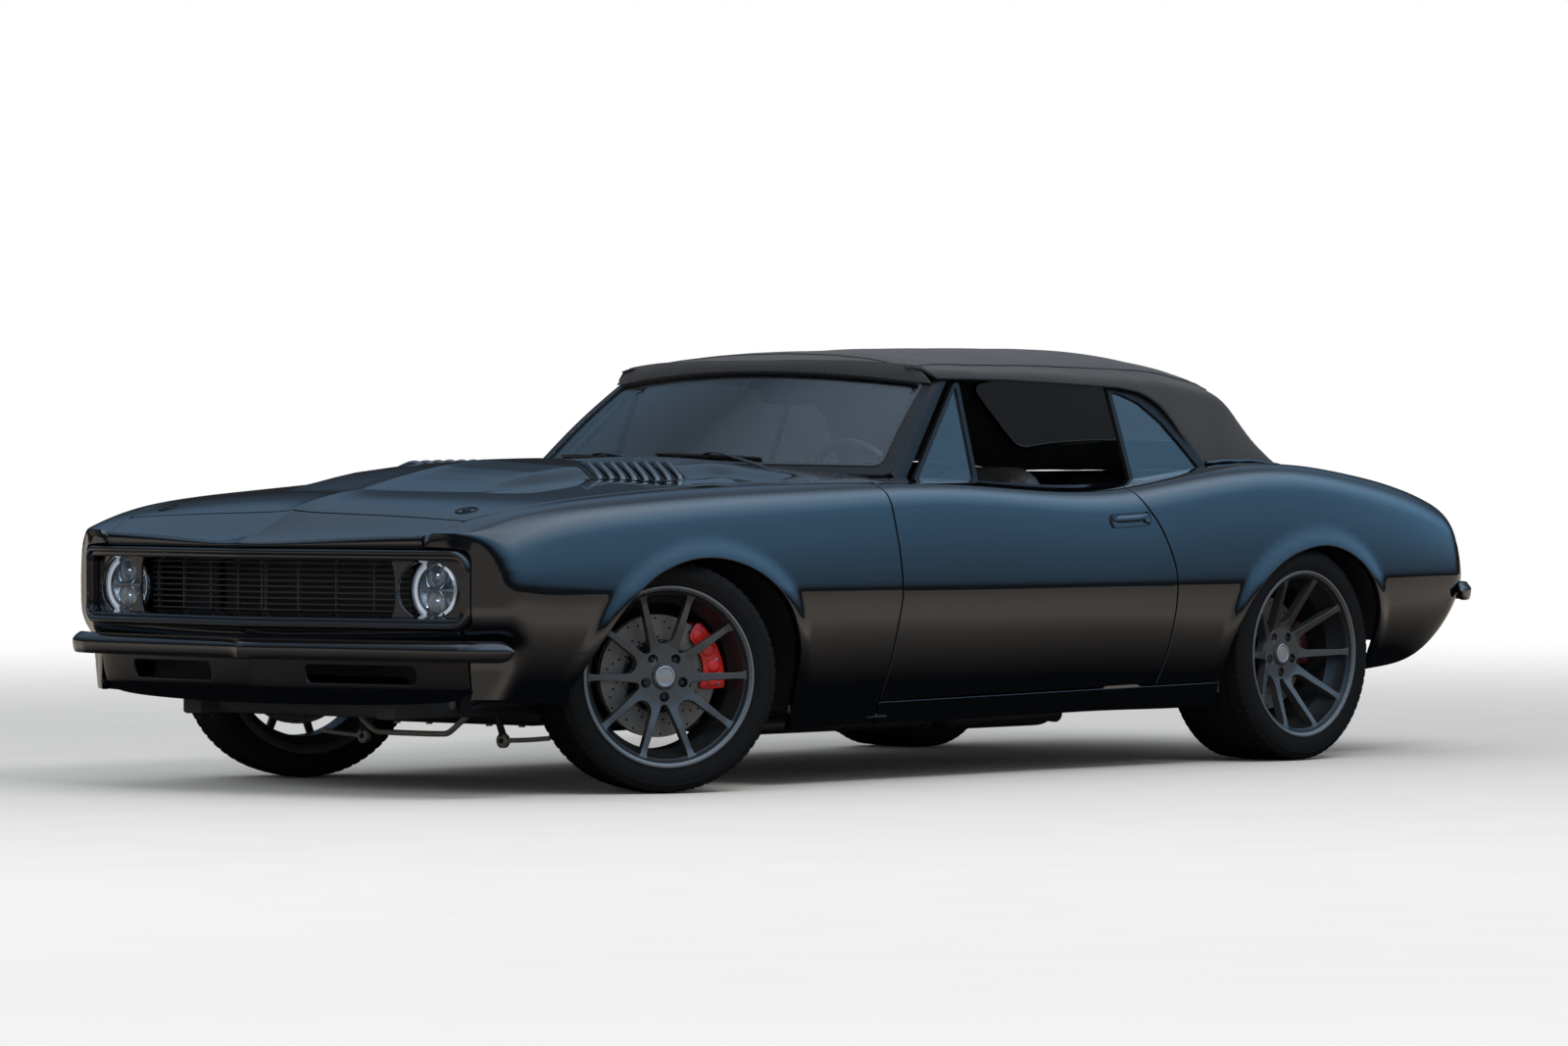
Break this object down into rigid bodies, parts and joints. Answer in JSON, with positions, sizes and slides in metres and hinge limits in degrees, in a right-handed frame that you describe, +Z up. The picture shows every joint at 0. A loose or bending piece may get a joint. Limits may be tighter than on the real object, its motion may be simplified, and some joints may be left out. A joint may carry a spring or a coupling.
{
  "type": "muscle car convertible",
  "caption": "Two-door muscle car with a folding cloth top up, wide grille, round headlamps, hood louvres and split-spoke wheels, front wheels steered right.",
  "frame": {"origin": "on the ground, at the middle of the car's length, on the centre line", "axes": "+X forward, +Y to the car's left, +Z up"},
  "size_m": [4.691, 1.9522, 1.268],
  "materials": {
    "body_paint": "gloss",
    "trim_black": "satin",
    "chassis_black": "satin",
    "cloth": "matte",
    "clear_glass": "gloss",
    "lamp_chrome": "polished",
    "lamp_red": "gloss",
    "wheel_grey": "satin",
    "tyre_rubber": "matte",
    "disc_iron": "machined",
    "caliper_red": "gloss",
    "engine_metal": "cast",
    "exhaust_steel": "brushed",
    "seat_leather": "satin",
    "cabin_plastic": "matte"
  },
  "bodies": {
    "root": {"front_fenders": "body_paint", "rear_quarters": "body_paint", "header_panel": "body_paint", "front_valance": "body_paint", "rocker_panels": "body_paint", "tail_panel": "body_paint", "grille": "trim_black", "grille_surround": "trim_black", "front_bumper": "trim_black", "rear_bumper": "trim_black", "cowl": "trim_black", "windshield_frame": "trim_black", "wipers": "trim_black", "floor_pan": "chassis_black", "door_pillars": "chassis_black", "front_subframe": "chassis_black", "front_suspension": "chassis_black", "rear_axle": "chassis_black", "leaf_springs": "chassis_black", "fuel_tank": "chassis_black", "inner_fenders": "chassis_black", "top_frame": "chassis_black", "radiator": "chassis_black", "soft_top": "cloth", "windshield": "clear_glass", "rear_window": "clear_glass", "quarter_windows": "clear_glass", "headlamps": "lamp_chrome", "tail_lamps": "lamp_red", "rear_calipers": "caliper_red", "engine": "engine_metal", "exhaust": "exhaust_steel", "front_seats": "seat_leather", "rear_seat": "seat_leather", "dashboard": "cabin_plastic", "rear_view_mirror": "cabin_plastic"},
    "door_left": {"door_left": "body_paint", "vent_window_left": "clear_glass"},
    "door_right": {"door_right": "body_paint", "vent_window_right": "clear_glass"},
    "hood": {"hood": "body_paint"},
    "deck_lid": {"deck_lid": "body_paint"},
    "steering_wheel": {"steering_wheel": "cabin_plastic"},
    "knuckle_left": {"knuckle_left": "chassis_black", "front_caliper_left": "caliper_red"},
    "knuckle_right": {"knuckle_right": "chassis_black", "front_caliper_right": "caliper_red"},
    "wheel_front_left": {"wheel_front_left": "wheel_grey", "tyre_front_left": "tyre_rubber", "brake_disc_front_left": "disc_iron"},
    "wheel_front_right": {"wheel_front_right": "wheel_grey", "tyre_front_right": "tyre_rubber", "brake_disc_front_right": "disc_iron"},
    "wheel_rear_left": {"wheel_rear_left": "wheel_grey", "tyre_rear_left": "tyre_rubber", "brake_disc_rear_left": "disc_iron"},
    "wheel_rear_right": {"wheel_rear_right": "wheel_grey", "tyre_rear_right": "tyre_rubber", "brake_disc_rear_right": "disc_iron"}
  },
  "joints": [
    {"name": "steering_left", "type": "hinge", "parent": "root", "child": "knuckle_left", "pos_m": [1.405, 0.7, 0.327], "axis": [0, 0, 1], "range_deg": [-6.5, 59.5]},
    {"name": "steering_right", "type": "hinge", "parent": "root", "child": "knuckle_right", "pos_m": [1.405, -0.7, 0.327], "axis": [0, 0, 1], "range_deg": [-6.5, 59.5]},
    {"name": "steering_wheel_turn", "type": "hinge", "parent": "root", "child": "steering_wheel", "pos_m": [0.158, 0.395, 0.809], "axis": [-0.9457, 0, 0.3251], "range_deg": [-92, 834]},
    {"name": "wheel_front_left_spin", "type": "hinge", "parent": "knuckle_left", "child": "wheel_front_left", "pos_m": [1.41972, 0.72953, 0.327], "axis": [0.4462, 0.8949, 0], "continuous": true},
    {"name": "wheel_front_right_spin", "type": "hinge", "parent": "knuckle_right", "child": "wheel_front_right", "pos_m": [1.39027, -0.72953, 0.327], "axis": [0.4462, 0.8949, 0], "continuous": true},
    {"name": "wheel_rear_left_spin", "type": "hinge", "parent": "root", "child": "wheel_rear_left", "pos_m": [-1.335, 0.747, 0.327], "axis": [0, 1, 0], "continuous": true},
    {"name": "wheel_rear_right_spin", "type": "hinge", "parent": "root", "child": "wheel_rear_right", "pos_m": [-1.335, -0.747, 0.327], "axis": [0, 1, 0], "continuous": true},
    {"name": "door_left_hinge", "type": "hinge", "parent": "root", "child": "door_left", "pos_m": [0.49, 0.877, 0.55], "axis": [0, 0, -1], "range_deg": [0, 65]},
    {"name": "door_right_hinge", "type": "hinge", "parent": "root", "child": "door_right", "pos_m": [0.49, -0.877, 0.55], "axis": [0, 0, 1], "range_deg": [0, 65]},
    {"name": "hood_hinge", "type": "hinge", "parent": "root", "child": "hood", "pos_m": [0.7, 0, 0.96], "axis": [0, -1, 0], "range_deg": [0, 45]},
    {"name": "deck_lid_hinge", "type": "hinge", "parent": "root", "child": "deck_lid", "pos_m": [-1.765, 0, 0.88], "axis": [0, 1, 0], "range_deg": [0, 60]}
  ],
  "couplings": [
    {"joint": "steering_right", "follows": "steering_left", "ratio": 1},
    {"joint": "steering_wheel_turn", "follows": "steering_left", "ratio": 14}
  ]
}
